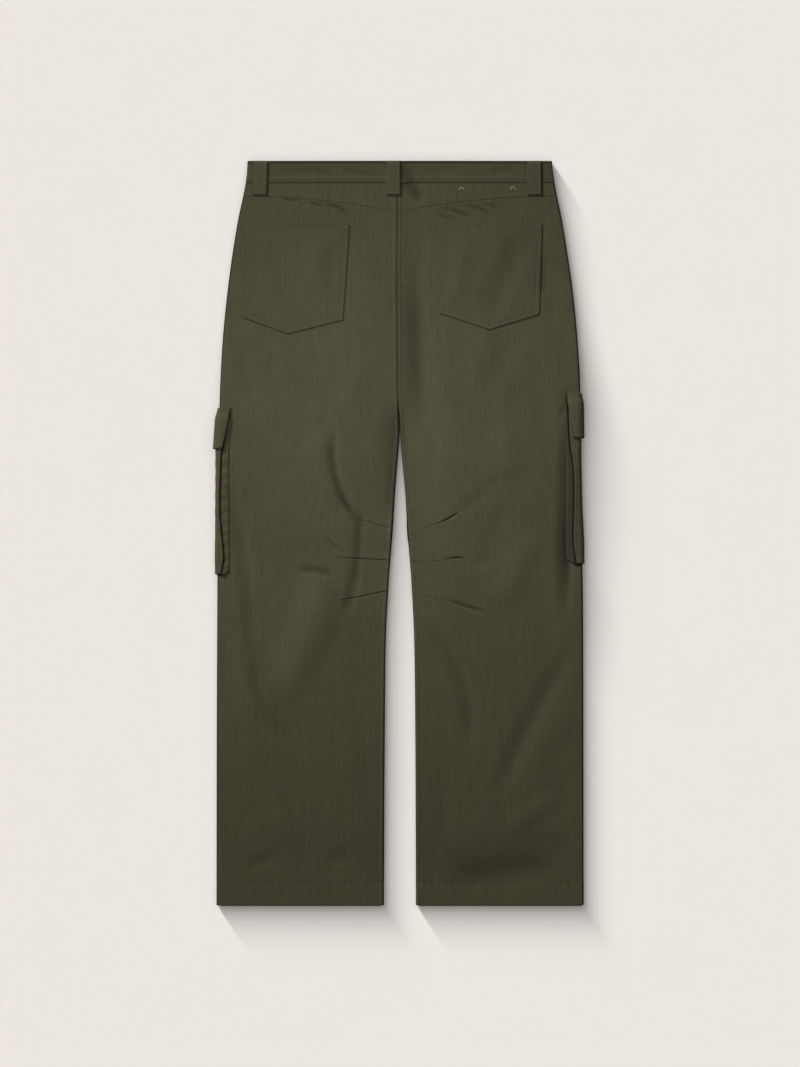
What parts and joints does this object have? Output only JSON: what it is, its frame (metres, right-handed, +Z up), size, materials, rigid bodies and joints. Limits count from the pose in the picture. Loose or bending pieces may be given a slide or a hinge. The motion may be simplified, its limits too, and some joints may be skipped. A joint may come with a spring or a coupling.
{
  "type": "cargo trousers",
  "caption": "Wide straight-leg cargo trousers laid flat, back side up, with a yoke, patch pockets, belt loops and bellows pockets with flaps on the thighs.",
  "frame": {"origin": "on the surface that the trousers lie on, under the middle of their outline", "axes": "+Y from the hems to the waist, +Z up from the surface to the back of the trousers, +X to the right as seen from above with the waist at the top, which is the wearer's right side"},
  "size_m": [0.5387, 1.08, 0.0158],
  "materials": {
    "twill": "matte heavy cotton twill, olive",
    "band_twill": "matte heavy cotton twill, olive, folded double",
    "pocket_twill": "matte heavy cotton twill, olive",
    "horn_button": "satin dark brown, four holes"
  },
  "bodies": {
    "root": {"back_leg_left": "twill", "back_leg_right": "twill", "front_leg_left": "twill", "front_leg_right": "twill", "yoke_left": "twill", "yoke_right": "twill", "waistband": "band_twill", "belt_loop_left": "band_twill", "belt_loop_centre": "band_twill", "belt_loop_right": "band_twill", "belt_loop_front_left": "band_twill", "belt_loop_front_right": "band_twill", "back_pocket_left": "pocket_twill", "back_pocket_right": "pocket_twill", "cargo_pocket_left": "pocket_twill", "cargo_pocket_right": "pocket_twill", "cargo_gusset_left": "pocket_twill", "cargo_gusset_right": "pocket_twill", "cargo_flap_left": "pocket_twill", "cargo_flap_right": "pocket_twill", "fly": "twill", "waist_button": "horn_button"}
  },
  "joints": []
}
